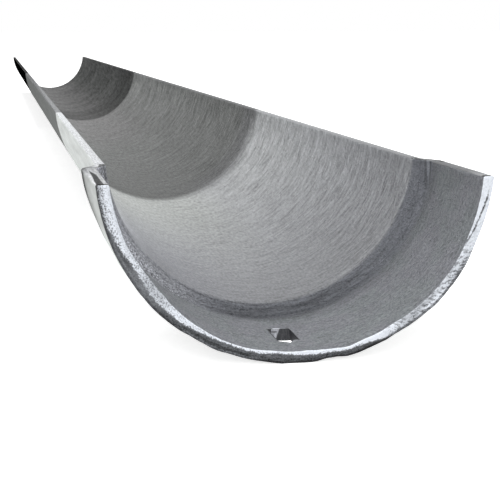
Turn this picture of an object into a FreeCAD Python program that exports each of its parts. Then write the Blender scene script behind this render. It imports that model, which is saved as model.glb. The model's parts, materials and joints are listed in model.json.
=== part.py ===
# Half-round cast-iron rainwater gutter: one length with a joggled socket at one end.
# The length runs along Y with the socket mouth at the low end, the rims face up (+Z), and the
# origin is on the floor under the middle of the length. Sizes are in millimetres.

import FreeCAD, Part
import os
import Sketcher

Vector = FreeCAD.Vector

# Driving dimensions: alias, value, what it is
SIZES = [
    ("effective_length", 1829.0, "laid length, from the socket's shoulder to the spigot end"),
    ("body_radius", 57.5, "outside radius of the half-round body, 115 mm nominal"),
    ("wall", 3.4, "thickness of the casting, even all over"),
    ("centre_rise", 4.75, "height of the section's centre above the rims"),
    ("joint_clearance", 0.5, "play between a spigot and the socket, for the jointing compound"),
    ("socket_depth", 53.0, "from the socket mouth to its shoulder"),
    ("joggle_run", 9.0, "length over which the wall steps from the socket to the body"),
    ("shoulder_round", 3.0, "radius outside the socket's shoulder"),
    ("throat_round", 1.2, "radius at the lip between the joggle and the body's inside"),
    ("hollow_round", 2.4, "radius of the two hollows of the joggle"),
    ("slot_width", 7.2, "bolt slot across the gutter, for a 6 mm gutter bolt"),
    ("slot_length", 20.0, "bolt slot along the gutter"),
    ("slot_setback", 24.5, "from the socket mouth to the middle of the bolt slot"),
    ("slot_round", 0.8, "radius in the corners of the bolt slot"),
    ("edge_round", 0.7, "radius on the rims and on both ends"),
]

# How far a cutting sketch reaches past the metal
OVERRUN = 5.0
# How near a point has to be to a surface to count as lying on it
TOUCH = 1e-4


def make_sheet(doc):
    """Spreadsheet with one named cell for each driving dimension."""
    sheet = doc.addObject("Spreadsheet::Sheet", "Sizes")
    for row, (alias, value, meaning) in enumerate(SIZES, start=1):
        sheet.set("A%d" % row, alias)
        sheet.set("B%d" % row, str(value))
        sheet.set("C%d" % row, meaning)
        sheet.setAlias("B%d" % row, alias)
    doc.recompute()
    return sheet


def origin_plane(body, role):
    """The body's own origin plane with the given role."""
    for feature in body.Origin.OriginFeatures:
        if feature.Role == role:
            return feature
    raise RuntimeError("no origin plane " + role)


def new_sketch(body, name, role):
    """Empty sketch lying on one of the body's origin planes."""
    sketch = body.newObject("Sketcher::SketchObject", name)
    sketch.AttachmentSupport = [(origin_plane(body, role), "")]
    sketch.MapMode = "FlatFace"
    return sketch


def bind(sketch, constraint, name, formula):
    """Add a dimension to the sketch, name it and tie it to the sheet."""
    index = sketch.addConstraint(constraint)
    sketch.renameConstraint(index, name)
    sketch.setExpression("Constraints." + name, formula)


def closed_outline(sketch, points):
    """Straight lines through the points and back to the first, joined end to start."""
    count = len(points)
    for index, start in enumerate(points):
        end = points[(index + 1) % count]
        sketch.addGeometry(Part.LineSegment(Vector(*start, 0), Vector(*end, 0)), False)
    for index in range(count):
        joint = Sketcher.Constraint("Coincident", index, 2, (index + 1) % count, 1)
        sketch.addConstraint(joint)


def draw_wall(body, size):
    """Wall of the gutter cut along its length. The sketch's X runs along the gutter, and the
    section's axis is its own X axis, with the bottom of the gutter below."""
    sketch = new_sketch(body, "WallOutline", "YZ_Plane")
    body_out = size["body_radius"]
    body_in = body_out - size["wall"]
    socket_in = body_out + size["joint_clearance"]
    socket_out = socket_in + size["wall"]
    shoulder = size["socket_depth"]
    lip = shoulder + size["joggle_run"]
    far_end = shoulder + size["effective_length"]
    closed_outline(sketch, [
        (0, -socket_in),
        (0, -socket_out),
        (shoulder, -socket_out),
        (lip, -body_out),
        (far_end, -body_out),
        (far_end, -body_in),
        (lip, -body_in),
        (shoulder, -socket_in),
    ])
    mouth, socket_outside, joggle_outside, body_outside = 0, 1, 2, 3
    spigot_end, body_inside, joggle_inside, socket_inside = 4, 5, 6, 7
    start, end = 1, 2
    x_axis, y_axis = -1, -2
    rule = Sketcher.Constraint
    for line in (socket_outside, body_outside, body_inside, socket_inside):
        sketch.addConstraint(rule("Horizontal", line))
    for line in (mouth, spigot_end):
        sketch.addConstraint(rule("Vertical", line))
    sketch.addConstraint(rule("PointOnObject", mouth, start, y_axis))
    sketch.addConstraint(rule("Parallel", joggle_outside, joggle_inside))
    bind(sketch, rule("Distance", mouth, size["wall"]), "SocketWall", "Sizes.wall")
    bind(sketch, rule("Distance", spigot_end, size["wall"]), "BodyWall", "Sizes.wall")
    bind(sketch, rule("Distance", joggle_inside, end, joggle_outside, size["wall"]),
         "JoggleWall", "Sizes.wall")
    bind(sketch, rule("Distance", body_outside, start, x_axis, body_out),
         "BodyRadius", "Sizes.body_radius")
    bind(sketch, rule("Distance", mouth, start, x_axis, socket_in),
         "SocketRadius", "Sizes.body_radius + Sizes.joint_clearance")
    bind(sketch, rule("Distance", socket_inside, shoulder), "SocketDepth", "Sizes.socket_depth")
    bind(sketch, rule("DistanceX", joggle_inside, end, joggle_inside, start, size["joggle_run"]),
         "JoggleRun", "Sizes.joggle_run")
    bind(sketch, rule("DistanceX", socket_inside, start, spigot_end, start,
                      size["effective_length"]),
         "EffectiveLength", "Sizes.effective_length")
    return sketch


def turn_wall(body, outline):
    """Half a turn of the wall's outline, a quarter to each side of the bottom."""
    turned = body.newObject("PartDesign::Revolution", "HalfRound")
    turned.Profile = outline
    turned.ReferenceAxis = (outline, ["H_Axis"])
    turned.Angle = 180.0
    turned.Midplane = True
    return turned


def centred_rectangle(sketch, wide, tall, middle, formulas):
    """Rectangle centred across the sketch's Y axis, its middle a distance up that axis."""
    low, high = middle - tall / 2, middle + tall / 2
    closed_outline(sketch, [(-wide / 2, low), (wide / 2, low), (wide / 2, high), (-wide / 2, high)])
    rule = Sketcher.Constraint
    near, right, far, left = 0, 1, 2, 3
    sketch.addConstraint(rule("Horizontal", far))
    for line in (right, left):
        sketch.addConstraint(rule("Vertical", line))
    sketch.addConstraint(rule("Symmetric", near, 1, near, 2, -2))
    bind(sketch, rule("Distance", near, wide), "Wide", formulas["wide"])
    bind(sketch, rule("Distance", right, tall), "Tall", formulas["tall"])
    bind(sketch, rule("DistanceY", near, 1, -1, 1, -low), "Start", formulas["start"])


def cut(doc, body, sketch, name, upwards):
    """Pocket right through the metal, to one side of the sketch. It has to remove some."""
    before = body.Shape.Volume
    pocket = body.newObject("PartDesign::Pocket", name)
    pocket.Profile = sketch
    pocket.Type = "ThroughAll"
    pocket.Reversed = upwards
    doc.recompute()
    if not pocket.Shape.Volume < before - 1.0:
        raise RuntimeError(name + " removes no metal")
    return pocket


def trim_rims(doc, body, size):
    """Cut the half round off level, below its axis, so that both rims are flat."""
    sketch = new_sketch(body, "RimPlane", "XY_Plane")
    sketch.setExpression(".AttachmentOffset.Base.z", "-Sizes.centre_rise")
    wide = 2 * (size["body_radius"] + size["joint_clearance"] + size["wall"] + OVERRUN)
    whole = size["socket_depth"] + size["effective_length"]
    centred_rectangle(sketch, wide, whole + 2 * OVERRUN, whole / 2, {
        "wide": "2 * (Sizes.body_radius + Sizes.joint_clearance + Sizes.wall + %g)" % OVERRUN,
        "tall": "Sizes.socket_depth + Sizes.effective_length + 2 * %g" % OVERRUN,
        "start": "%g" % OVERRUN,
    })
    return cut(doc, body, sketch, "LevelRims", True)


def cut_slot(doc, body, size):
    """Bolt slot through the bottom of the socket."""
    sketch = new_sketch(body, "SlotOutline", "XY_Plane")
    centred_rectangle(sketch, size["slot_width"], size["slot_length"], size["slot_setback"], {
        "wide": "Sizes.slot_width",
        "tall": "Sizes.slot_length",
        "start": "Sizes.slot_length / 2 - Sizes.slot_setback",
    })
    return cut(doc, body, sketch, "BoltSlot", False)


def on_circle(edge, radius, station):
    """True where the edge is part of a circle of that radius, at that distance along Y."""
    curve = edge.Curve
    if not isinstance(curve, Part.Circle):
        return False
    return abs(curve.Radius - radius) < TOUCH and abs(curve.Center.y - station) < TOUCH


def in_plane(edge, axis, place):
    """True where the whole edge lies at one place along an axis."""
    box = edge.BoundBox
    low, high = getattr(box, axis + "Min"), getattr(box, axis + "Max")
    return abs(low - place) < TOUCH and abs(high - place) < TOUCH


def round_edges(doc, body, base, name, radius, chosen):
    """Fillet the edges of the base that the test picks."""
    picked = ["Edge%d" % number for number, edge in enumerate(base.Shape.Edges, start=1)
              if chosen(edge)]
    if not picked:
        raise RuntimeError(name + " finds no edge")
    fillet = body.newObject("PartDesign::Fillet", name)
    fillet.Base = (base, picked)
    fillet.setExpression("Radius", "Sizes." + radius)
    doc.recompute()
    return fillet


def round_joggle(doc, body, base, size):
    """Round the four bends of the joggle: shoulder, lip, and a hollow inside and outside."""
    body_out = size["body_radius"]
    body_in = body_out - size["wall"]
    socket_in = body_out + size["joint_clearance"]
    socket_out = socket_in + size["wall"]
    shoulder = size["socket_depth"]
    lip = shoulder + size["joggle_run"]
    outer = [vertex.Point for vertex in base.Shape.Vertexes
             if shoulder < vertex.Point.y < lip + size["wall"]]

    def station(radius):
        for point in outer:
            if abs(Vector(point.x, 0, point.z).Length - radius) < TOUCH:
                return point.y
        raise RuntimeError("no bend of that radius")

    bends = [
        ("RoundShoulder", "shoulder_round", socket_out, station(socket_out)),
        ("RoundThroat", "throat_round", body_in, lip),
        ("RoundOuterHollow", "hollow_round", body_out, station(body_out)),
        ("RoundInnerHollow", "hollow_round", socket_in, shoulder),
    ]
    for name, alias, radius, place in bends:
        base = round_edges(doc, body, base, name, alias,
                           lambda edge: on_circle(edge, radius, place))
    return base


def build_gutter(doc, sheet):
    """The whole casting, as one body."""
    size = {alias: sheet.get(alias) for alias, value, meaning in SIZES}
    body = doc.addObject("PartDesign::Body", "GutterSection")
    body.Label = "gutter_section"
    turn_wall(body, draw_wall(body, size))
    doc.recompute()
    base = round_joggle(doc, body, body.Tip, size)
    base = trim_rims(doc, body, size)
    whole = size["socket_depth"] + size["effective_length"]
    rim = -size["centre_rise"]
    base = round_edges(doc, body, base, "RoundRimsAndEnds", "edge_round",
                       lambda edge: in_plane(edge, "Z", rim) or in_plane(edge, "Y", 0)
                       or in_plane(edge, "Y", whole))
    base = cut_slot(doc, body, size)
    half_width = size["slot_width"] / 2
    base = round_edges(doc, body, base, "RoundSlotCorners", "slot_round",
                       lambda edge: in_plane(edge, "X", half_width) and edge.BoundBox.YLength < TOUCH
                       or in_plane(edge, "X", -half_width) and edge.BoundBox.YLength < TOUCH)
    body.setExpression("Placement.Base.y", "-(Sizes.socket_depth + Sizes.effective_length) / 2")
    body.setExpression("Placement.Base.z",
                       "Sizes.body_radius + Sizes.joint_clearance + Sizes.wall")
    doc.recompute()
    return body


def check(doc, parts):
    """Stop where an object failed or a sub-part has no sound solid."""
    for item in doc.Objects:
        if "Invalid" in item.State or "Error" in item.State:
            raise RuntimeError("failed: " + item.Name)
    for item in parts:
        if item.Shape.isNull() or not item.Shape.isValid() or len(item.Shape.Solids) != 1:
            raise RuntimeError("bad shape: " + item.Label)


def main():
    doc = FreeCAD.newDocument("GutterSection")
    sheet = make_sheet(doc)
    parts = [build_gutter(doc, sheet)]
    check(doc, parts)
    os.makedirs("parts", exist_ok=True)
    for item in parts:
        item.Shape.exportStep("parts/%s.step" % item.Label)
        box = item.Shape.BoundBox
        print(item.Label, "volume", round(item.Shape.Volume), "box",
              [round(v, 2) for v in (box.XMin, box.YMin, box.ZMin, box.XMax, box.YMax, box.ZMax)])


main()
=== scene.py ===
"""Finish of a half-round cast-iron gutter length, seen down its length from the socket end.

The casting is turned from one wall outline, cut off level at the rims, and then roughened:
a fettled socket mouth, a pebbled socket, and a body with fine turning streaks in three tones.
"""
import json
import math

import bmesh
import bpy
from mathutils import Euler, Matrix, Vector, noise


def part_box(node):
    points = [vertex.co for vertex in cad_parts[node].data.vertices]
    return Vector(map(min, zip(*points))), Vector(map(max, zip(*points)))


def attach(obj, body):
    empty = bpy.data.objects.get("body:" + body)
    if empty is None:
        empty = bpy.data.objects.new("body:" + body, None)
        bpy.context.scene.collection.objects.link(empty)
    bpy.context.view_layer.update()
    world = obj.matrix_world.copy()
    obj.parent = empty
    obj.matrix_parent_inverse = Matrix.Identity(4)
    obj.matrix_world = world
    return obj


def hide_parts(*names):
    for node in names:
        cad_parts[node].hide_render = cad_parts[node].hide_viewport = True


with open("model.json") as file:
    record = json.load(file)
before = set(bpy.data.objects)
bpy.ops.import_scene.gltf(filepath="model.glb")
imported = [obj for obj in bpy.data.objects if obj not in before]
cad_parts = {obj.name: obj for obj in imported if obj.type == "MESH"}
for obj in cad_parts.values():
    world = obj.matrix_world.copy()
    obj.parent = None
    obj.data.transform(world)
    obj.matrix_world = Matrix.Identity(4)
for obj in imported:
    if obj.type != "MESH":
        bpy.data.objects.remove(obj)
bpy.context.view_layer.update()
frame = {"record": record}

MM = 0.001

MOUNTS = {mount["name"]: mount for mount in frame["record"]["mounts"]}
SEAT = MOUNTS["socket_seat"]
SPIGOT = MOUNTS["spigot_outside"]
SLOT = MOUNTS["bolt_slot"]
LOW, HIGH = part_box("gutter_section")

# Section of the casting, in metres. The socket's underside lies on the floor
AXIS_Z = SEAT["pos_m"][2]
SOCKET_OUT = AXIS_Z
SOCKET_IN = SEAT["dims"]["r_mm"] * MM
WALL = SOCKET_OUT - SOCKET_IN
BODY_OUT = SPIGOT["dims"]["r_mm"] * MM
BODY_IN = BODY_OUT - WALL
RIM_Z = HIGH.z
RISE = AXIS_Z - RIM_Z

# Stations along the length, in metres
MOUTH_Y = LOW.y
FAR_Y = HIGH.y
SHOULDER_Y = MOUTH_Y + SEAT["dims"]["length_mm"] * MM
JOGGLE_RUN = 9 * MM
LIP_Y = SHOULDER_Y + JOGGLE_RUN
PALE_END_Y = MOUTH_Y + 362.6 * MM
MIDDLE_END_Y = MOUTH_Y + 1056.0 * MM

# Bolt slot, in metres
SLOT_HALF_WIDTH = SLOT["dims"]["hole_r_mm"] * MM
SLOT_LENGTH = SLOT["dims"]["slot_length_mm"] * MM
SLOT_MIDDLE_Y = SLOT["pos_m"][1]
SLOT_LOW_Y = SLOT_MIDDLE_Y - SLOT_LENGTH / 2
SLOT_HIGH_Y = SLOT_MIDDLE_Y + SLOT_LENGTH / 2
SLOT_CORNER = 0.8 * MM

# The same stations, in millimetres from the mouth. The relief and the materials go by them
SHOULDER, LIP, PALE_END, MIDDLE_END, FAR_END, SLOT_END = [
    (y - MOUTH_Y) / MM for y in (SHOULDER_Y, LIP_Y, PALE_END_Y, MIDDLE_END_Y, FAR_Y, SLOT_HIGH_Y)]

# How far the slot's far wall leans in to its lower edge, and how far its near edge is burred over,
# as (place across the half width, millimetres)
SLOT_LEAN = ((-1, 1.2), (-0.5, 2.3), (0.2, 2.9), (0.8, 3.1), (1, 2.8))
SLOT_BURR = ((-1, 1.9), (-0.6, 1.3), (0, -0.2), (0.15, 0.0), (0.5, 3.3), (0.8, 3.5), (1, 2.4))
# Lengths of the slot's sides that follow the lean and the burr
LEAN_RUN = 8 * MM
BURR_RUN = 9 * MM

# Roundings, in metres
EDGE_ROUND = 0.6 * MM
SHOULDER_ROUND = 3.0 * MM
HOLLOW_ROUND = 2.4 * MM
THROAT_ROUND = 1.0 * MM

# Fineness of the skin's mesh
TURN_STEPS = 112
BEND_STEPS = 4
EDGE_STEPS = 3
# Steps of the turn on each side of the bottom that make up the slot's half width
SLOT_STEPS = 2
# Cuts in each run of the wall's line: to the slot, along it, past it, joggle, and the three tones
CUTS = (12, 14, 14, 7, 150, 84, 46)
# Cuts across the wall in the faces of the ends
END_CUTS = 5

# Distances and shares within which a vertex or a face counts as being at a place
AT_STATION = MM / 100
AT_CORNER = EDGE_ROUND / 10
ON_SLOT_SIDE = 0.9
WITHIN_SLOT = 1.01
BY_SLOT = 1.02
AROUND_SLOT = 1.1
# Edges that are rounded, and edges that are drawn sharp, by the angle between their faces
ROUNDED_FROM = math.radians(60)
SHARP_FROM = math.radians(40)
# Least share of a face's normal that counts as looking along the length, up, or straight up or down
LOOKS_ALONG = 0.35
LOOKS_UP = 0.4
LEVEL = 0.9

# Edges of the fettled mouth, as (degrees round from the bottom, millimetres out from the true edge)
MOUTH_INNER = ((-90, -0.1), (-83, -0.2), (-73, -0.4), (-66, -0.45), (-61, -0.85), (-55, -1.23),
               (-50, -1.1), (-44, -0.65), (-37, -0.15), (-32, -0.05), (-25, 0.25), (-18, 0.25),
               (-13, 0.05), (-9, -0.38), (-4, -0.3), (2, -0.65), (7, -0.3), (11, 0.1), (15, 0.7),
               (20, 0.2), (25, 0.35), (30, 0.1), (36, 0.5), (44, 0.6), (55, 0.75), (61, 0.55),
               (67, 0.25), (90, 0.1))
MOUTH_OUTER = ((-90, 0.6), (-79, 0.5), (-67, 0.55), (-58, 0.5), (-52, 0.62), (-46, 0.83), (-37, 0.65),
               (-34, 0.32), (-31, 0.32), (-25, 0.6), (-21, 0.2), (-16, 0.25), (-10, 0.08), (-4, 0.28),
               (-1, 0.02), (5, -0.07), (8, -0.55), (11, -0.4), (14, 0.3), (17, 0.4), (22, 0.25),
               (26, 0.36), (30, 0.18), (36, 0.55), (41, 0.7), (44, 1.0), (50, 0.8), (54, 0.85),
               (59, 0.65), (65, 0.15), (75, 0.15), (90, 0.35))
# Where the bright break of the mouth gives way to its dark outer band, as (degrees, radius in mm)
BREAK_LINE = ((-90, 60.9), (-80, 60.95), (-74, 60.85), (-70, 60.0), (-66, 59.6), (-60, 59.25),
              (-56, 59.4), (-51, 59.65), (-45, 59.7), (-37, 59.4), (-32, 59.0), (-26, 58.5),
              (-22, 58.4), (-17, 58.7), (-12, 58.85), (-6, 58.5), (0, 58.9), (6, 59.2), (12, 59.05),
              (17, 58.9), (22, 59.55), (27, 60.55), (31, 61.0), (60, 61.7), (66, 62.2), (90, 62.4))

# Heights of the relief, in millimetres: the mouth's dark band stands back, the socket's sides stand
# proud of the mouth, and a lump stands by the left rim at the shoulder
BREAK_DEPTH = 0.9
SIDE_SWELL = 0.9
LUMP = 0.8
RAGGED_EDGES = 0.10
PITTING = 0.16
LONG_WAVES = 0.10
SHORT_WAVES = 0.05

# Numbers of the skin's materials
INSIDE, OUTSIDE, RIM, MOUTH_FACE, FAR_FACE, SLOT_WALL = range(6)

# Floor and light of the studio
AMBIENT = 0.5
FLOOR_SIZE = 60
FLOOR_WHITE = 0.86
FLOOR_GLOW = 0.74
# Lamps, as (name, place, aim, width of the disc, power)
LAMPS = (("key", (-0.4, -0.6, 4.2), (0, 0, 0), 1.2, 130),
         ("front", (-0.6, -4.0, 1.6), (0, -0.9, 0), 1.6, 30))

# Camera, with its place in metres and its turns in degrees
SENSOR_WIDTH = 36
LENS = 99.7155
CLIP_START = 0.01
CLIP_END = 200
CAMERA_PLACE = (-90.35 * MM, -1347.21 * MM, 102.10 * MM)
CAMERA_TURNS = (80.890, 0.179, -10.440)


def angle_of(point):
    """Angle round the section's axis, nought at the bottom and growing to the right."""
    return math.atan2(point.x, AXIS_Z - point.z)


def radius_of(point):
    return math.hypot(point.x, AXIS_Z - point.z)


def place(point, radius, angle):
    """Move a point to a radius and angle about the section's axis."""
    point.x = radius * math.sin(angle)
    point.z = AXIS_Z - radius * math.cos(angle)


def smooth(low, high, value):
    """Nought below low, one above high, and an even curve between."""
    t = min(max((value - low) / (high - low), 0.0), 1.0)
    return t * t * (3 - 2 * t)


def along(points, value):
    """Value of a broken line through (place, height) points."""
    if value <= points[0][0]:
        return points[0][1]
    for (x0, y0), (x1, y1) in zip(points, points[1:]):
        if value <= x1:
            return y0 + (y1 - y0) * (value - x0) / (x1 - x0)
    return points[-1][1]


def bevel(bm, parts, width, steps, affect="EDGES"):
    """Round edges, or the corners of a line."""
    bmesh.ops.bevel(bm, geom=parts, offset=width, offset_type="OFFSET", segments=steps,
                    profile=0.5, affect=affect, material=-1)


def make_object(name, bm):
    """Turn a bmesh into an object of the scene."""
    mesh = bpy.data.meshes.new(name)
    bm.to_mesh(mesh)
    bm.free()
    made = bpy.data.objects.new(name, mesh)
    bpy.context.collection.objects.link(made)
    return made


def wall_line(bm, socket, body, shoulder_y, rounds):
    """One face of the wall, drawn as a line under the section's axis, with rounded bends."""
    turn = math.atan2(socket - body, JOGGLE_RUN)
    lip_y = shoulder_y + JOGGLE_RUN
    corners = [(MOUTH_Y, socket), (SLOT_LOW_Y, socket), (SLOT_HIGH_Y, socket), (shoulder_y, socket),
               (lip_y, body), (PALE_END_Y, body), (MIDDLE_END_Y, body), (FAR_Y, body)]
    line = bmesh.new()
    verts = [line.verts.new((0, y, AXIS_Z - radius)) for y, radius in corners]
    for pair in zip(verts, verts[1:]):
        line.edges.new(pair)
    for bend_y, radius in zip((shoulder_y, lip_y), rounds):
        corner = min(line.verts, key=lambda vert: abs(vert.co.y - bend_y))
        bevel(line, [corner], radius * math.tan(turn / 2), BEND_STEPS, "VERTICES")
    for low, high, cuts in zip(corners, corners[1:], CUTS):
        middle = (low[0] + high[0]) / 2
        run = min(line.edges, key=lambda edge: abs(sum(vert.co.y for vert in edge.verts) / 2 - middle))
        bmesh.ops.subdivide_edges(line, edges=[run], cuts=cuts)
    mesh = bpy.data.meshes.new("wall line")
    line.to_mesh(mesh)
    line.free()
    bm.from_mesh(mesh)
    bpy.data.meshes.remove(mesh)


def wall_strip(bm):
    """The wall cut along the bottom of the gutter: a strip of faces between its two lines."""
    half_turn = math.atan2(SOCKET_OUT - BODY_OUT, JOGGLE_RUN) / 2
    wall_line(bm, SOCKET_OUT, BODY_OUT, SHOULDER_Y + WALL * math.tan(half_turn),
              (SHOULDER_ROUND, HOLLOW_ROUND))
    wall_line(bm, SOCKET_IN, BODY_IN, SHOULDER_Y, (HOLLOW_ROUND, THROAT_ROUND))
    bmesh.ops.bridge_loops(bm, edges=list(bm.edges))


def turn_half_round(bm):
    """Turn the strip half way round the section's axis, then draw its ends in to the rims' level."""
    centre = Vector((0, 0, AXIS_Z))
    to_one_side = Matrix.Rotation(math.pi / 2, 3, "Y")
    bmesh.ops.rotate(bm, cent=centre, matrix=to_one_side, verts=list(bm.verts))
    bmesh.ops.spin(bm, geom=list(bm.verts) + list(bm.edges) + list(bm.faces), cent=centre,
                   axis=(0, 1, 0), angle=-math.pi, steps=TURN_STEPS)
    step = math.pi / TURN_STEPS
    slot_angle = math.asin(SLOT_HALF_WIDTH / SOCKET_IN)
    for vert in bm.verts:
        angle, radius = angle_of(vert.co), radius_of(vert.co)
        reach = math.acos(RISE / radius)
        turned = along([(0, 0), (SLOT_STEPS * step, slot_angle), (math.pi / 2, reach)], abs(angle))
        place(vert.co, radius, math.copysign(turned, angle))
    bmesh.ops.recalc_face_normals(bm, faces=list(bm.faces))


def over_slot(point):
    return abs(point.x) < SLOT_HALF_WIDTH and SLOT_LOW_Y < point.y < SLOT_HIGH_Y


def cut_slot(bm):
    """Cut the bolt slot through the bottom of the socket and round its upright corners."""
    window = [face for face in bm.faces if over_slot(face.calc_center_median())]
    bmesh.ops.delete(bm, geom=window, context="FACES")
    rims = [edge for edge in bm.edges if edge.is_boundary]
    for vert in {vert for edge in rims for vert in edge.verts}:
        if abs(vert.co.x) > SLOT_HALF_WIDTH * ON_SLOT_SIDE:
            vert.co.x = math.copysign(SLOT_HALF_WIDTH, vert.co.x)
    bmesh.ops.bridge_loops(bm, edges=rims)
    bevel(bm, [edge for edge in bm.edges if is_slot_corner(edge)], SLOT_CORNER, EDGE_STEPS)
    bmesh.ops.recalc_face_normals(bm, faces=list(bm.faces))


def is_slot_corner(edge):
    """An upright edge at one of the slot's four corners."""
    low, high = sorted(edge.verts, key=lambda vert: vert.co.z)
    upright = high.co.z - low.co.z > WALL / 2 and abs(high.co.y - low.co.y) < EDGE_ROUND
    at_end = min(abs(low.co.y - SLOT_LOW_Y), abs(low.co.y - SLOT_HIGH_Y)) < AT_CORNER
    return upright and at_end and abs(abs(low.co.x) - SLOT_HALF_WIDTH) < AT_CORNER


def draft_slot(bm):
    """The punch broke out forward: the slot's far wall leans in to its lower edge, and its near
    edge is burred over."""
    for vert in bm.verts:
        across = vert.co.x / SLOT_HALF_WIDTH
        if abs(across) > WITHIN_SLOT:
            continue
        from_far = SLOT_HIGH_Y - vert.co.y + AT_STATION
        from_near = vert.co.y - SLOT_LOW_Y + AT_STATION
        if 0 <= from_far < LEAN_RUN and vert.co.z < WALL / 2:
            vert.co.y -= along(SLOT_LEAN, across) * MM * (1 - from_far / LEAN_RUN)
        if 0 <= from_near < BURR_RUN and vert.co.z > WALL / 2:
            vert.co.y += along(SLOT_BURR, across) * MM * (1 - from_near / BURR_RUN)


def round_edges(bm):
    """Round the sharp edges of the rims and both ends, and divide the faces of the ends."""
    sharp = [edge for edge in bm.edges
             if edge.calc_face_angle() > ROUNDED_FROM and not in_slot(edge)]
    bevel(bm, sharp, EDGE_ROUND, EDGE_STEPS)
    for end_y in (MOUTH_Y, FAR_Y):
        rungs = [edge for edge in bm.edges if is_rung(edge, end_y)]
        bmesh.ops.subdivide_edges(bm, edges=rungs, cuts=END_CUTS, use_grid_fill=True)


def in_slot(edge):
    middle = (edge.verts[0].co + edge.verts[1].co) / 2
    across = abs(middle.x) < SLOT_HALF_WIDTH * AROUND_SLOT
    return across and abs(middle.y - SLOT_MIDDLE_Y) < SLOT_LENGTH


def is_rung(edge, end_y):
    """An edge that crosses the flat of an end face from its inner round to its outer one."""
    ends = [vert.co for vert in edge.verts]
    crossing = abs(radius_of(ends[0]) - radius_of(ends[1]))
    return all(abs(end.y - end_y) < AT_STATION for end in ends) and crossing > WALL / 2


def wall_middle(y):
    """Radius half way through the wall at a station."""
    return along([(SHOULDER_Y, SOCKET_IN + WALL / 2), (LIP_Y, BODY_IN + WALL / 2)], y)


def wall_waves(in_mm, degrees):
    """How far the waviness of the whole wall stands out, in mm."""
    long_waves = noise.noise(Vector((in_mm.x * 0.03, in_mm.y * 0.02, in_mm.z * 0.03)))
    short_waves = noise.noise(Vector((degrees * 0.12, in_mm.y * 0.16, 5)))
    return LONG_WAVES * long_waves + SHORT_WAVES * short_waves


def socket_shift(station, degrees, depth):
    """How far the socket stands out from its true section, in mm, at a share of the wall's depth."""
    ragged = RAGGED_EDGES * noise.noise(Vector((degrees * 0.7, depth * 2, 3)))
    inner = (along(MOUTH_INNER, degrees) + ragged) * (1 - smooth(0.5, 6, station))
    outer = (along(MOUTH_OUTER, degrees) + ragged) * (1 - smooth(1, 11, station))
    outer += SIDE_SWELL * smooth(40, 62, abs(degrees)) * smooth(1, 12, station) \
        * (1 - smooth(SHOULDER - 3, LIP, station))
    outer += LUMP * smooth(-68, -84, degrees) * smooth(20, 44, station) \
        * (1 - smooth(SHOULDER - 1, SHOULDER + 4, station))
    return inner + (outer - inner) * depth


def mouth_recess(in_mm, station, past_break):
    """How far the mouth's face is set back, in mm: all of its dark band, and its pits."""
    on_face = 1 - smooth(0, EDGE_ROUND / MM, station)
    return on_face * (BREAK_DEPTH * smooth(-0.2, 1.4, past_break) + PITTING * noise.noise(in_mm * 0.9))


def roughen(bm):
    """Cast and fettled relief. Each vertex keeps how far it was past the mouth's break line and how
    deep in the wall, in mm."""
    past_break = bm.verts.layers.float.new("past_break")
    wall_depth = bm.verts.layers.float.new("wall_depth")
    for vert in bm.verts:
        angle, radius, y = angle_of(vert.co), radius_of(vert.co), vert.co.y
        degrees, station = math.degrees(angle), (y - MOUTH_Y) / MM
        in_mm = vert.co / MM
        vert[past_break] = radius / MM - along(BREAK_LINE, degrees)
        vert[wall_depth] = (wall_middle(y) + WALL / 2 - radius) / MM
        shift = wall_waves(in_mm, degrees)
        if y < LIP_Y:
            depth = min(max((radius - SOCKET_IN) / WALL, 0), 1)
            shift += socket_shift(station, degrees, depth)
            vert.co.y += mouth_recess(in_mm, station, vert[past_break]) * MM
        place(vert.co, radius + shift * MM, angle)


def face_number(face):
    """Material number of a face, from where it lies and which way it looks."""
    centre, normal = face.calc_center_median(), face.normal
    by_slot = abs(centre.x) < SLOT_HALF_WIDTH * BY_SLOT and centre.z < 2 * WALL \
        and SLOT_LOW_Y - MM / 10 < centre.y < SLOT_HIGH_Y + MM / 10
    if by_slot and abs(normal.z) < LEVEL:
        return SLOT_WALL
    if normal.y < -LOOKS_ALONG and centre.y < MOUTH_Y + 3 * EDGE_ROUND:
        return MOUTH_FACE
    if normal.y > LOOKS_ALONG and centre.y > FAR_Y - 2 * EDGE_ROUND:
        return FAR_FACE
    if normal.z > LOOKS_UP and centre.z > RIM_Z - EDGE_ROUND:
        return RIM
    return INSIDE if radius_of(centre) < wall_middle(centre.y) else OUTSIDE


def make_casting():
    """The whole visible casting, as one object with its material numbers set."""
    bm = bmesh.new()
    wall_strip(bm)
    turn_half_round(bm)
    cut_slot(bm)
    draft_slot(bm)
    round_edges(bm)
    roughen(bm)
    bm.normal_update()
    for face in bm.faces:
        face.smooth = True
        face.material_index = face_number(face)
    for edge in bm.edges:
        edge.smooth = edge.calc_face_angle() < SHARP_FROM
    return make_object("casting_skin", bm)


class Reading:
    """A value in a material, so that shader maths is written as plain arithmetic."""

    def __init__(self, finish, socket):
        self.finish = finish
        self.socket = socket

    def __add__(self, other):
        return self.finish.maths("ADD", self, other)

    __radd__ = __add__

    def __mul__(self, other):
        return self.finish.maths("MULTIPLY", self, other)

    __rmul__ = __mul__

    def __sub__(self, other):
        return self.finish.maths("SUBTRACT", self, other)

    def __rsub__(self, other):
        return self.finish.maths("SUBTRACT", other, self)

    def __truediv__(self, other):
        return self.finish.maths("DIVIDE", self, other)

    def __rtruediv__(self, other):
        return self.finish.maths("DIVIDE", other, self)


def set_stops(elements, stops):
    """Give a colour ramp its grey stops."""
    while len(elements) < len(stops):
        elements.new(1.0)
    for element, (position, grey) in zip(elements, stops):
        element.position = position
        element.color = (grey, grey, grey, 1)


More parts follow.
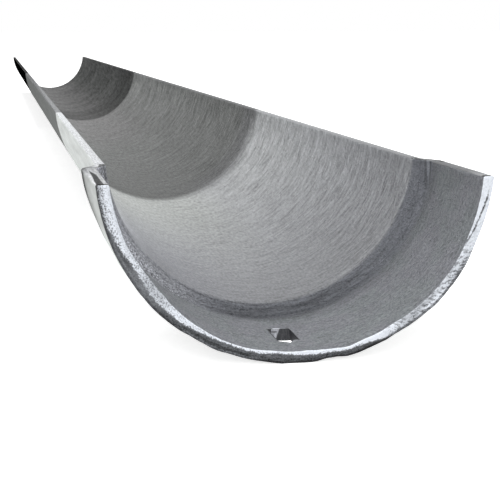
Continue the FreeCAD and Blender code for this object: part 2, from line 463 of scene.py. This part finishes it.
class Finish:
    """A material or world being made. Its one general method adds a node, sets it and joins it up."""

    def __init__(self, owner):
        owner.use_nodes = True
        self.owner = owner
        self.tree = owner.node_tree
        self.tree.nodes.clear()

    def node(self, kind, settings, sockets, outputs=(0,)):
        node = self.tree.nodes.new(kind)
        for name, value in settings.items():
            if name == "stops":
                set_stops(node.color_ramp.elements, value)
            else:
                setattr(node, name, value)
        for name, value in sockets.items():
            if isinstance(value, Reading):
                self.tree.links.new(value.socket, node.inputs[name])
            else:
                node.inputs[name].default_value = value
        readings = [Reading(self, node.outputs[output]) for output in outputs]
        return readings[0] if len(readings) == 1 else readings

    def maths(self, operation, *values):
        return self.node("ShaderNodeMath", {"operation": operation}, dict(enumerate(values)))

    def step(self, value, low, high):
        """Nought at low and before it, one at high and past it, and an even curve between."""
        return self.node("ShaderNodeMapRange", {"interpolation_type": "SMOOTHSTEP"},
                         {"Value": value, "From Min": low, "From Max": high})

    def window(self, value, rise, fall):
        """One between two edges and nought outside. Each edge is where it's nought and where one."""
        return self.step(value, *rise) * self.step(value, *fall)

    def mix(self, kind, factor, first, second):
        """Mix of two colours. The node's colour sockets share their names, so they go by number."""
        return self.node("ShaderNodeMix", {"data_type": "RGBA", "blend_type": kind},
                         {0: factor, 6: first, 7: second}, (2,))

    def blend(self, factor, first, second):
        return self.mix("MIX", factor, first, second)

    def tinted(self, value, colour):
        """A grey value, tinted."""
        return self.mix("MULTIPLY", 1.0, value, colour)

    def at(self, x, y, z):
        return self.node("ShaderNodeCombineXYZ", {}, {"X": x, "Y": y, "Z": z})

    def noise(self, vector, scale, detail, roughness):
        """Noise about nought."""
        return self.node("ShaderNodeTexNoise", {}, {
            "Vector": vector, "Scale": scale, "Detail": detail, "Roughness": roughness}) - 0.5

    def kept(self, name):
        """A number kept on the mesh's vertices."""
        return self.node("ShaderNodeAttribute", {"attribute_name": name}, {}, ("Fac",))

    def bump(self, height, distance):
        return self.node("ShaderNodeBump", {}, {
            "Height": height, "Distance": distance, "Strength": 1.0})

    def close(self, **sockets):
        """End the material in one Principled shader."""
        named = {name.replace("_", " "): value for name, value in sockets.items()}
        shader = self.node("ShaderNodeBsdfPrincipled", {}, named)
        self.node("ShaderNodeOutputMaterial", {}, {"Surface": shader}, ())
        return self.owner


# Angles of the rims round from the bottom, in degrees, at which the tables by angle start and end
LEFT_RIM, RIGHT_RIM = -90, 90

# Tints
BLUISH = (0.93, 0.99, 1.04, 1)
VIOLET = (0.95, 0.975, 1.06, 1)
SLATE = (0.93, 0.972, 1.08, 1)
STEEL = (0.93, 0.975, 1.05, 1)
COOL = (0.98, 1.0, 1.025, 1)
PALE_COOL = (0.978, 0.997, 1.045, 1)
PALE_VIOLET = (0.972, 0.992, 1.066, 1)
NEUTRAL = (1.0, 1.0, 1.0, 1)
GREENISH = (0.967, 1.0, 0.981, 1)

# Cells of the pebbled skin to a millimetre
PEBBLES = 0.8


class Skin(Finish):
    """A finish of the casting that knows its place: millimetres along, round and out from the axis."""

    def __init__(self, name):
        super().__init__(bpy.data.materials.new(name))
        point = self.node("ShaderNodeTexCoord", {}, {}, ("Object",))
        x, y, z = self.node("ShaderNodeSeparateXYZ", {}, {"Vector": point}, ("X", "Y", "Z"))
        self.x, self.y, self.z = x / MM, y / MM, z / MM
        self.station = self.y - MOUTH_Y / MM
        drop = AXIS_Z / MM - self.z
        angle = self.maths("ARCTAN2", self.x, drop)
        self.radius = self.maths("SQRT", self.x * self.x + drop * drop)
        self.point = self.at(self.x, self.y, self.z)
        self.round = angle * (BODY_IN / MM)
        self.degrees = angle * math.degrees(1)

    def past(self, low, high):
        """Nought at one station and one at another, in millimetres from the mouth."""
        return self.step(self.station, low, high)

    def turned(self, low, high):
        """Nought at one angle and one at another, in degrees round from the bottom."""
        return self.step(self.degrees, low, high)

    def by_angle(self, stops):
        """A value from nought to one by the angle round from the bottom, as (degrees, value) stops."""
        half_turn = RIGHT_RIM - LEFT_RIM
        places = [((degrees - LEFT_RIM) / half_turn, value) for degrees, value in stops]
        return self.node("ShaderNodeValToRGB", {"stops": places},
                         {"Fac": (self.degrees - LEFT_RIM) / half_turn})

    def tones(self, zones):
        """Grey along the length, from zones of (start, end, tone at each, softness of the start)."""
        grey = None
        for start, end, near, far, soft in zones:
            zone = self.node("ShaderNodeMapRange", {}, {
                "Value": self.station, "From Min": start, "From Max": end,
                "To Min": near, "To Max": far})
            if grey is None:
                grey = zone
            else:
                grey = grey + self.past(start - soft, start + soft) * (zone - grey)
        return grey

    def grain(self, scale, roughness=0.6):
        """Even fine noise."""
        return self.noise(self.point, scale, 3.0, roughness)

    def flecks(self, x, y, z, detail=2.0, roughness=0.5):
        """Noise drawn out by the scales of its three readings."""
        return self.noise(self.at(x, y, z), 1.0, detail, roughness)

    def pebbles(self):
        """One on pebbles of the skin and nought between them."""
        cells = self.node("ShaderNodeTexVoronoi", {}, {"Vector": self.point, "Scale": PEBBLES})
        return self.step(cells, 0.45, 0.15)


# Inside of the casting, as (degrees round from the bottom, value): tones of the joggle, which hold
# painted shade of its slope round the section, how much lighter it grows towards the lip, and how far
# the lip and the pale tone's end are drawn back
JOGGLE_SHADED_TONES = ((-60, 0.68), (-52, 0.63), (-45, 0.57), (-38, 0.41), (-32, 0.36), (-17, 0.15),
                (0, 0.137), (17, 0.136), (28, 0.168), (47, 0.235), (62, 0.265), (90, 0.275))
JOGGLE_RISE = ((-22, 0.0), (-8, 0.45), (0, 0.5), (20, 0.4), (34, 0.35), (48, 0.05))
LIP_WANDER = ((-60, 0.5), (-34, 0.56), (-24, 0.63), (-14, 0.8), (0, 0.75), (25, 0.75), (40, 0.5),
              (55, 0.35), (70, 0.08))
PALE_END_WANDER = ((68, 0.4), (76, 0.5), (86, 1.0))
# What those last two are shares of, in millimetres
LIP_DRAWN_BACK = 1.6
PALE_END_DRAWN_BACK = 10
# How raking the light looks, where the bottom of the joggle lies, and how flat the skin looks
RAKING = ((-40, 0.45), (0, 0.5), (20, 0.6), (45, 0.85), (70, 1.0))
BOTTOM = ((-30, 0.0), (-12, 1.0), (20, 1.0), (38, 0.0))
FLATNESS = ((-45, 1.0), (0, 0.9), (30, 0.5), (60, 0.2), (90, 0.0))
# The streaks grow coarser with the distance from this station, in millimetres along Y, and these
# set how many of them and of the specks of dust there are along the length
COARSENING_Y = -1347.0
STREAKS_ALONG = 180000
DUST_ALONG = 80000


class InsideSkin(Skin):
    """Grey cast skin with fine wavy turning streaks, pebbled in the socket."""

    def __init__(self):
        super().__init__("cast_inside")
        self.lip = LIP - self.by_angle(LIP_WANDER) * LIP_DRAWN_BACK
        self.middle_end = MIDDLE_END - (4 + self.turned(0, 25) * 7)
        self.in_body = self.past(self.lip - 1, self.lip + 1)
        self.before_body = 1 - self.in_body
        self.in_joggle = self.past(SHOULDER - 5, SHOULDER) * self.before_body
        self.past_pale = self.past(PALE_END - 10, PALE_END + 10)
        self.past_middle = self.past(self.middle_end - 10, self.middle_end + 10)
        self.raking = self.by_angle(RAKING)
        self.fine = self.grain(1.1, 0.7)
        self.drift = self.flecks(self.round * 0.07, self.y * 0.05, 2.0)
        self.rungs = self.flecks(self.round * 0.05, self.y * 0.45 + self.drift * 2, 5.0, 2.0, 0.6)
        self.streaks, self.waves, self.dust = self.turning_marks()
        self.pebbled = self.pebbled_places()
        self.pebble = self.pebbles()

    def turning_marks(self):
        """Streaks, waves and dust that run round the section and coarsen along the length."""
        reach = 1 / (self.y - COARSENING_Y)
        across = self.round * reach
        lean = reach * STREAKS_ALONG - across * 25 + self.drift * 4
        return (self.flecks(across * 55, lean * 0.55, 0.0, 2.0, 0.7),
                self.flecks(across * 30, lean * 0.16, 3.0, 2.0, 0.6),
                self.flecks(across * 550, reach * DUST_ALONG, 9.0, 1.0, 0.5))

    def pebbled_places(self):
        """Left of the joggle by the shoulder, and all along it under the left rim."""
        by_shoulder = self.window(self.degrees, (-18, -35), (-67, -60)) \
            * self.past(SHOULDER + 6.5, SHOULDER + 2.5) * 1.35
        under_rim = self.turned(-75, -79) * 1.4
        return (by_shoulder + under_rim) * self.past(SHOULDER - 10, SHOULDER - 3) * self.before_body

    def zone_tones(self):
        """Tones of the socket, of the joggle and of the body's three zones."""
        risen = self.by_angle(JOGGLE_RISE) * self.past(SHOULDER + 3.5, SHOULDER + 7.5)
        # The joggle's tones hold painted shade of its slope round the section
        joggle = self.by_angle(JOGGLE_SHADED_TONES) * (1 + risen)
        pale_end = PALE_END - self.by_angle(PALE_END_WANDER) * PALE_END_DRAWN_BACK
        return self.tones([
            (0, SHOULDER, 0.28, 0.256, 1),
            (SHOULDER - 3, LIP, joggle, joggle, 4),
            (self.lip, PALE_END, 0.286, 0.497, 1.0),
            (pale_end, PALE_END + 60, 0.121, 0.136, 12 + self.turned(0, 50) * 7),
            (PALE_END + 60, MIDDLE_END, 0.140, 0.213, 20),
            (self.middle_end, MIDDLE_END + 150, 0.10, 0.118, 10),
            (MIDDLE_END + 150, FAR_END, 0.150, 0.168, 60)])

    def body_light(self):
        """Painted light and shade: how much lighter the body's walls are than its bottom, and how it
        darkens by the lip on the left and lightens by it on the right.
        """
        past_lip = self.past(LIP + 10, LIP + 80)
        right_wall = self.turned(35, 88) * (0.46 + self.past_pale * 0.20)
        left_wall = self.turned(-5, -50) * 0.08 + self.turned(-24, -38) * past_lip * 0.08 \
            + self.turned(-36, -52) * (0.32 + past_lip * 0.16)
        left_of_lip = self.turned(0, -22) * self.past(LIP + 200, LIP + 10) * 0.12
        right_of_lip = self.turned(22, 38) * self.past(LIP + 6, LIP) * 0.18
        return right_wall + left_wall - left_of_lip + right_of_lip - 0.05

    def shading(self):
        """Light and shade on the zones' tones, about one."""
        far_light = 0.25 - self.turned(-10, 66) * 0.80
        middle_shade = self.past(PALE_END + 250, MIDDLE_END) * self.turned(10, 50) \
            * (1 - self.past_middle) * 0.14
        socket_shade = self.past(SHOULDER - 13, SHOULDER - 4) * self.turned(-30, 10) * 0.2
        return (1 + self.past_middle * far_light) * (1 + self.in_body * self.body_light()) \
            * (1 - middle_shade) * (1 - socket_shade)

    def mottle(self):
        """Streaks, grain, pebbles and slow changes of tone, about one."""
        flat = self.by_angle(FLATNESS)
        bands = self.flecks(self.round * 0.01, self.y * 0.022, 7.0)
        dapple = self.flecks(self.round * 0.22, self.y * 0.35, 11.0, 2.0, 0.6)
        of_grain = 1.2 + flat * 1.4 - self.in_joggle * (1 - flat) * 0.8 \
            - self.in_body * (0.5 + flat * 1.4 + self.raking * 0.3)
        of_streaks = (0.7 + self.in_body * (self.raking * 1.9 - 1.1)) \
            * (1.05 + self.past_pale * 0.10 - self.past_middle * 0.2)
        of_dust = 1.30 - self.raking * 0.7 + self.past_pale * 0.2 \
            + self.past_middle * (self.raking * 2.7 - 1.8)
        of_waves = 0.1 + self.raking * 0.25
        of_rungs = 0.8 + self.by_angle(BOTTOM) * 1.2
        return 1 + self.fine * of_grain + self.streaks * of_streaks + self.drift * 0.08 \
            + self.in_body * (self.waves * of_waves + self.dust * of_dust) \
            + bands * self.past_middle * 0.8 + dapple * self.before_body * 0.35 \
            + self.rungs * self.in_joggle * of_rungs + self.pebbled * (self.pebble - 0.2) * 0.75

    def lip_shadows(self):
        """Painted shadow of the lip at its left: a fine dark line and a soft shade of the joggle,
        about one.
        """
        line = self.turned(-15, -25) * self.past(self.lip - 1.6, self.lip - 1.1)
        shade = self.turned(-29, -40) * self.past(SHOULDER + 2.5, SHOULDER + 5.5)
        return (1 - line * self.before_body * 0.25) * (1 - shade * self.before_body * 0.25)

    def slot_shade_and_highlight(self, mottle):
        """The same mottle with painted shade past the slot's end and along its left side, and a
        painted highlight just past its end.
        """
        past_slot = self.station - SLOT_END
        end = self.step(self.maths("ABSOLUTE", past_slot - 1.9), 1.4, 0.4) \
            * self.window(self.x, (-3.0, -2.4), (4.6, 3.4))
        side = self.window(self.x, (-4.1, -3.9), (-3.0, -3.4)) \
            * self.window(past_slot, (-18, -16), (0.3, -0.3))
        light = self.window(self.x, (-2.0, -1.5), (0.95, 0.45)) \
            * self.window(past_slot, (-0.1, 0.2), (1.6, 1.1))
        return mottle * (1 - end * 0.2) * (1 - side * 0.65) + light * 1.9

    def groove(self):
        """Painted shade of a groove under the right rim at the shoulder, with a painted highlight
        along its middle, about nought.
        """
        aside = self.maths("ABSOLUTE", self.station - 54.0 + (83.6 - self.degrees) * 0.28)
        groove = self.turned(74, 80) * self.step(aside, 2.6, 1.6)
        return groove * (self.step(aside, 1.1, 0.3) * 0.75 - 0.35)

    def tint(self):
        """Tint of the socket and the joggle, of the pale tone, and of the tones past it."""
        socket = self.blend(self.step(self.drift, -0.08, 0.08), BLUISH, VIOLET)
        joggle = self.blend(self.turned(-15, -35), SLATE, VIOLET)
        by_lip = self.blend(self.turned(5, -30), PALE_COOL, PALE_VIOLET)
        pale = self.blend(self.turned(8, 34), GREENISH, COOL)
        greyer = self.past(PALE_END + 290, PALE_END + 490) * self.turned(60, 20)
        body = self.blend(self.past(PALE_END + 15, PALE_END + 50),
                          self.blend(self.past(LIP + 10, LIP + 270), by_lip, pale),
                          self.blend(greyer, GREENISH, NEUTRAL))
        return self.blend(self.in_body, self.blend(self.in_joggle, socket, joggle), body)

    def relief(self):
        ripple = self.flecks(self.round * 0.11, self.y * 0.03, 8.0)
        return self.fine * (3.0 - self.in_body * 2.0) + self.streaks * 4.0 \
            + ripple * self.before_body * 2 + self.pebbled * self.pebble * 1.5 \
            + self.rungs * self.in_joggle * 2

    def finished(self):
        grey = self.zone_tones() * self.shading()
        mottle = self.slot_shade_and_highlight(self.mottle() * self.lip_shadows()) + self.groove()
        return self.close(Base_Color=self.tinted(grey * mottle, self.tint()),
                          Roughness=0.55 + self.fine * 0.2 + self.past_middle * 0.4,
                          Specular_IOR_Level=0.15, Normal=self.bump(self.relief(), 0.6 * MM))


class OutsideSkin(Skin):
    """Outside of the wall: near-white by the socket, grey beyond it, black towards the spigot."""

    def __init__(self):
        super().__init__("cast_outside")
        self.by_rim = self.turned(-75, -80)

    def zone_tones(self):
        """Tones of the left wall, and plainer ones of the underside and the right wall."""
        left = self.tones([
            (0, SHOULDER, 0.66, 0.70, 1),
            # Over the shoulder: painted light where the wall turns away from the lamps, and painted
            # shade by the left rim
            (SHOULDER - 12, LIP, 0.86 - self.by_rim * 0.44, 0.95 - self.by_rim * 0.71, 4),
            (LIP - 4, PALE_END, 0.78, 0.78, 1.5),
            (PALE_END, MIDDLE_END, 0.235, 0.20, 3),
            (MIDDLE_END, FAR_END, 0.001, 0.001, 6)])
        unseen = self.tones([
            (0, LIP, 0.34, 0.36, 1),
            (LIP, PALE_END, 0.42, 0.46, 4),
            (PALE_END, MIDDLE_END, 0.20, 0.18, 8),
            (MIDDLE_END, FAR_END, 0.10, 0.11, 12)])
        return left + self.turned(-50, -20) * self.past(3, 6) * (unseen - left)

    def marks(self):
        """A darkening under the left rim, painted shade along the shoulder by the rim and at the
        mouth's rounded edge, and painted light where the wall turns under, about one.
        """
        darkening = (self.turned(-92, -80) * 0.6 + self.turned(-80, -74) * 0.3) \
            * self.window(self.station, (12, 50), (60, 57))
        shoulder_shade = self.by_rim * self.window(self.station, (36, 43), (60, 55))
        mouth_edge_shade = self.past(2.4, 1.2)
        turned_under = self.window(self.degrees, (-74, -66), (-46, -56)) * self.past(48, 40)
        return (1 - darkening * 0.75) * (1 - mouth_edge_shade * 0.85) * (1 - shoulder_shade * 0.5) * (1 + turned_under * 0.35)

    def finished(self):
        grain = self.grain(0.8)
        streaks = self.flecks(self.round * 0.3, self.y * 0.02, 4.0, 3.0)
        grey = self.zone_tones() * (1 + grain * 0.4 + streaks * 0.5) * self.marks()
        return self.close(Base_Color=self.tinted(grey, GREENISH), Roughness=0.75,
                          Specular_IOR_Level=0.0, Normal=self.bump(grain, 0.4 * MM))


class RimSkin(Skin):
    """Dressed top of the rims: painted shade in a wedge at the left of the mouth, a dark patch at the
    right shoulder."""

    def __init__(self):
        super().__init__("rim_top")
        self.depth = self.kept("wall_depth")
        self.fine = self.grain(0.9, 0.7)

    def wedge(self):
        """Painted shade in a wedge of the rim's outer half, and a painted highlight along the rim's
        outer edge outside it.
        """
        start = self.depth - (0.25 + self.station * 0.026)
        end = 2.25 - self.past(26, 50) - self.depth
        dark = self.step(end, -0.1, 0.25) * self.step(start, -0.15, 0.15)
        rim_edge_highlight = self.step(start, 0.1, -0.2) * self.past(52, 44)
        return dark, rim_edge_highlight

    def left_rim(self):
        tone = self.tones([
            (0, SHOULDER, 0.50, 0.36, 1),
            (SHOULDER, PALE_END, 0.58, 0.68, 4),
            (PALE_END, MIDDLE_END, 0.26, 0.22, 3),
            (MIDDLE_END, FAR_END, 0.001, 0.001, 6)])
        # Painted shade in the wedge, and a painted highlight along the rim's outer edge
        wedge, rim_edge_highlight = self.wedge()
        fading = self.step((self.station - 330) * 0.0048 - self.depth, -0.4, 0.4) * self.past(362, 366)
        scratches = self.flecks(self.depth * 2.0, self.station * 0.25, 4.0)
        step_line = self.window(self.station, (50.5, 52.5), (56, 54.5))
        darkening = self.step(self.depth, 1.5, 0.8) * self.window(self.station, (26, 50), (60, 57))
        return (tone * (1 - fading * 0.35) * (1 + scratches * 1.6) + rim_edge_highlight * 0.18) \
            * (1 - wedge * 0.9) * (1 - step_line * 0.45) * (1 - darkening * 0.6)

    def right_rim(self):
        tone = self.tones([
            (0, 16, 0.34, 0.20, 1),
            (16, SHOULDER, 0.19, 0.17, 1),
            (SHOULDER, PALE_END, 0.27, 0.36, 4),
            (PALE_END, MIDDLE_END, 0.17, 0.15, 3),
            (MIDDLE_END, FAR_END, 0.04, 0.06, 6)])
        # A dark patch painted on the level rim at the shoulder
        dark_patch = self.window(self.station, (47, 49), (60, 58.5)) * self.step(self.depth, 2.0, 1.3)
        # Painted highlight along the rim's outer edge
        outer_edge_highlight = self.step(self.depth, 1.3, 0.7)
        return tone * (1 + outer_edge_highlight * 1.1) * (1 - dark_patch * 0.9)

    def scar(self):
        """Where the joggle's pebbled skin comes up through the rims' inner edge."""
        slant = self.depth - 3.3 + (self.station - 55) * 0.27 + self.fine * 2.0
        return self.step(slant, -0.2, 0.1) * self.window(self.station, (54.5, 55.5), (65, 64))

    def finished(self):
        left = self.left_rim()
        grey = left + self.step(self.x, -1.0, 1.0) * (self.right_rim() - left)
        grey = grey + self.scar() * (0.1 + self.pebbles() * 0.22 - grey)
        drawn = self.flecks(self.x * 1.2, self.y * 0.05, 2.0)
        # Painted shade where the rim rounds over into the mouth
        rim_end_shade = self.past(3.2, 1.8)
        grey = grey * (1 + self.fine * 0.5 + drawn * 0.5) * (1 - rim_end_shade * 0.8)
        return self.close(Base_Color=self.tinted(grey, COOL), Roughness=0.6,
                          Specular_IOR_Level=0.05, Normal=self.bump(self.fine, 0.5 * MM))


# Broken mouth, as (degrees round from the bottom, value): how specked it is, tones of the bright
# break by its outer and its inner edge, where its band is layered, and how dark the painted shade
# along its outer edge is
BREAK_SPECKS = ((-90, 0.8), (-75, 0.9), (-62, 0.8), (-44, 0.7), (-36, 0.4), (-18, 0.35), (2, 0.1),
                (26, 0.1), (31, 0.8), (60, 0.9), (65, 0.2), (90, 0.1))
BREAK_OUTER_TONES = ((-90, 0.58), (-80, 0.52), (-70, 0.56), (-60, 0.45), (-55, 0.38), (-50, 0.52),
                     (-42, 0.62), (-38, 0.8), (-30, 0.82), (0, 0.88), (25, 0.92), (29, 0.66),
                     (35, 0.36), (40, 0.62), (46, 0.80), (50, 0.58), (55, 0.34), (60, 0.46),
                     (65, 0.80), (90, 0.9))
BREAK_INNER_TONES = ((-90, 0.76), (-80, 0.80), (-65, 0.74), (-58, 0.62), (-52, 0.42), (-46, 0.54),
                     (-40, 0.84), (0, 0.9), (25, 0.92), (30, 0.72), (36, 0.42), (44, 0.45),
                     (50, 0.60), (56, 0.50), (61, 0.66), (65, 0.78), (72, 0.87), (90, 0.9))
BAND_LAYERS = ((-38, 0), (-32, 1), (-17, 1), (-12, 0))
MOUTH_EDGE_SHADE = ((-90, 0.75), (-76, 0.65), (-68, 0.5), (-62, 0.45), (-50, 0.45), (-44, 0.55),
                 (-40, 0.5), (-36, 0.1), (-14, 0.1), (-10, 0.7), (50, 0.9), (58, 0.5), (65, 0.0),
                 (90, 0.0))
BRIGHTEST_BREAK = 0.93


class MouthSkin(Skin):
    """Broken end of the socket: bright crystalline iron inside, a set-back outer band darkened with
    painted shade, dark specks.
    """

    def __init__(self):
        super().__init__("mouth_break")
        self.past_break = self.kept("past_break")
        self.depth = self.kept("wall_depth")
        self.right = self.turned(22, 32)
        self.fine = self.flecks(self.round * 2.0, self.radius * 2.2, self.y, 2.0, 0.6)
        self.flake = self.flecks(self.round * 0.7 + self.radius * 0.5, self.radius * 0.9, 6.0)

    def crack(self):
        """The dark crack in the break's upper right, by how much it takes away."""
        aside = self.maths("ABSOLUTE", self.radius - 58.8 - (self.degrees - 66.7) * 0.114
                           + self.flake * 0.9 + self.fine * 0.5)
        length = self.window(self.degrees, (62, 66), (82, 79))
        return (0.8 + self.fine * 1.5) * length * (1 - self.step(aside, 0.12, 0.34))

    def bright_break(self):
        strokes = self.flecks((self.round - self.radius) * 1.1, (self.round + self.radius) * 0.35,
                              6.0, 2.0, 0.6)
        torn = self.flake + self.right * (strokes * 1.3 - self.flake)
        speck = self.step(self.fine * (1 - self.right * 0.5) + torn * (0.4 + self.right * 0.6),
                          0.0, 0.09)
        cleaner = self.step(self.depth, 2.0, 2.8) * (self.turned(-58, -66) * 0.75 + self.right * 0.3)
        specked = self.by_angle(BREAK_SPECKS) * (1 - cleaner)
        outer = self.by_angle(BREAK_OUTER_TONES)
        inner = self.by_angle(BREAK_INNER_TONES)
        tone = outer + self.step(self.depth, 1.2, 2.4) * (inner - outer)
        specks = 0.30 - speck * 0.64 - self.fine * 1.6 - torn * (0.9 + self.right * 0.9)
        return tone * (1 + specked * specks) * (1 - self.crack())

    def dark_band(self):
        # The outer band's darkness is painted shade, painted lighter where it faces left, with a
        # painted shadow beside the break line at the lower left
        lighter = self.window(self.degrees, (-40, -52), (-75, -67))
        spot = self.window(self.degrees, (-56, -63), (-72, -66)) * self.step(self.depth, 0.7, 1.1)
        seam = self.window(self.depth, (0.7, 1.0), (1.8, 1.4))
        under = self.step(self.depth, 0.8, 0.5)
        layers = self.by_angle(BAND_LAYERS) * (under * 0.7 - seam * 0.5)
        tone = 0.115 + self.step(self.depth, 1.9, 0.9) * (lighter * 0.055 - 0.025) \
            + lighter * 0.05 + self.fine * 0.35 + self.flake * 0.2
        return tone * (1 - spot * 0.5) * (1 + layers)

    def outer_edge_shade(self):
        """Painted shade along the mouth's rounded outer edge."""
        width = 0.75 + self.turned(15, 28) * 0.45 + self.turned(-66, -74) * 0.2
        return self.by_angle(MOUTH_EDGE_SHADE) * self.step(self.depth - width, 0.0, -0.4)

    def finished(self):
        bright = self.bright_break()
        in_band = self.step(self.past_break + self.fine * 1.8 + self.flake, -0.2, 0.35)
        grey = bright + in_band * (self.dark_band() - bright)
        grey = self.maths("MINIMUM", grey * (1 - 0.8 * self.outer_edge_shade()), BRIGHTEST_BREAK)
        relief = self.fine * 0.7 + self.flake
        return self.close(Base_Color=self.tinted(grey, STEEL), Roughness=0.5,
                          Specular_IOR_Level=0.2, Normal=self.bump(relief, 0.5 * MM))


class SpigotEndSkin(Skin):
    """Plain cut end of the spigot."""

    def __init__(self):
        super().__init__("sawn_end")

    def finished(self):
        grain = self.grain(0.8)
        return self.close(Base_Color=self.tinted(0.16 * (1 + grain * 0.5), NEUTRAL), Roughness=0.5,
                          Normal=self.bump(grain, 0.3 * MM))


class SlotSkin(Skin):
    """Rough walls of the punched slot."""

    def __init__(self):
        super().__init__("slot_wall")

    def glint(self):
        """The lit part of the far wall, between two slanting edges, with a shade across it."""
        drop = WALL / MM - self.z
        left_edge = self.step(self.x + drop * 0.35, -2.5, -2.0)
        right_edge = self.step(self.x + drop * 0.55, 0.6, 0.2)
        shade = self.window(drop, (0.5, 0.7), (1.2, 0.9)) * self.step(self.x, -0.2, -0.8)
        far_wall = self.past(SLOT_END - 4.0, SLOT_END - 3.6) * self.step(drop, 3.0, 2.6)
        return far_wall * left_edge * right_edge * (1 - shade * 0.8)

    def finished(self):
        grain = self.grain(1.2)
        ribs = self.flecks(self.x * 2.5, 0.0, self.z * 0.4, 1.0)
        grey = (0.05 + self.glint() * 0.32) * (1 + grain * 0.9 + ribs * 1.4)
        return self.close(Base_Color=self.tinted(grey, VIOLET), Roughness=0.6,
                          Specular_IOR_Level=0.1, Normal=self.bump(grain, 0.4 * MM))


def seen_directly(finish):
    """One for rays from the camera or off a gloss or through glass, nought for the light itself."""
    camera, glossy, through = finish.node("ShaderNodeLightPath", {}, {}, (
        "Is Camera Ray", "Is Glossy Ray", "Is Transmission Ray"))
    return finish.maths("MAXIMUM", finish.maths("MAXIMUM", camera, glossy), through)


def make_world():
    world = bpy.data.worlds.new("studio")
    bpy.context.scene.world = world
    studio = Finish(world)
    strength = AMBIENT + seen_directly(studio) * (1 - AMBIENT)
    shader = studio.node("ShaderNodeBackground", {}, {"Color": (1, 1, 1, 1), "Strength": strength})
    studio.node("ShaderNodeOutputWorld", {}, {"Surface": shader}, ())


def make_floor():
    bm = bmesh.new()
    bmesh.ops.create_grid(bm, x_segments=2, y_segments=2, size=FLOOR_SIZE / 2)
    bmesh.ops.translate(bm, vec=Vector((0, 0, LOW.z)), verts=list(bm.verts))
    floor = make_object("studio_floor", bm)
    finish = Finish(bpy.data.materials.new("studio_white"))
    white = (FLOOR_WHITE, FLOOR_WHITE, FLOOR_WHITE, 1)
    matt = finish.node("ShaderNodeBsdfDiffuse", {}, {"Color": white})
    glow = finish.node("ShaderNodeEmission", {}, {
        "Color": (1, 1, 1, 1), "Strength": seen_directly(finish) * FLOOR_GLOW})
    shader = finish.node("ShaderNodeAddShader", {}, {0: matt, 1: glow})
    finish.node("ShaderNodeOutputMaterial", {}, {"Surface": shader}, ())
    floor.data.materials.append(finish.owner)


def make_lamp(name, spot, aim, size, power):
    data = bpy.data.lights.new(name, "AREA")
    data.shape = "DISK"
    data.size = size
    data.energy = power
    lamp = bpy.data.objects.new(name, data)
    lamp.location = spot
    lamp.rotation_euler = (Vector(aim) - Vector(spot)).to_track_quat("-Z", "Y").to_euler()
    bpy.context.collection.objects.link(lamp)


def make_camera():
    data = bpy.data.cameras.new("camera")
    data.sensor_width = SENSOR_WIDTH
    data.lens = LENS
    data.clip_start = CLIP_START
    data.clip_end = CLIP_END
    camera = bpy.data.objects.new("camera", data)
    camera.location = CAMERA_PLACE
    camera.rotation_euler = Euler([math.radians(turn) for turn in CAMERA_TURNS])
    bpy.context.collection.objects.link(camera)
    bpy.context.scene.camera = camera


casting = make_casting()
# In the order of the materials' numbers
for make_skin in (InsideSkin, OutsideSkin, RimSkin, MouthSkin, SpigotEndSkin, SlotSkin):
    casting.data.materials.append(make_skin().finished())
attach(casting, "root")
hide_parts("gutter_section")

make_world()
make_floor()
for lamp_values in LAMPS:
    make_lamp(*lamp_values)
make_camera()
bpy.context.scene.view_settings.view_transform = "Standard"
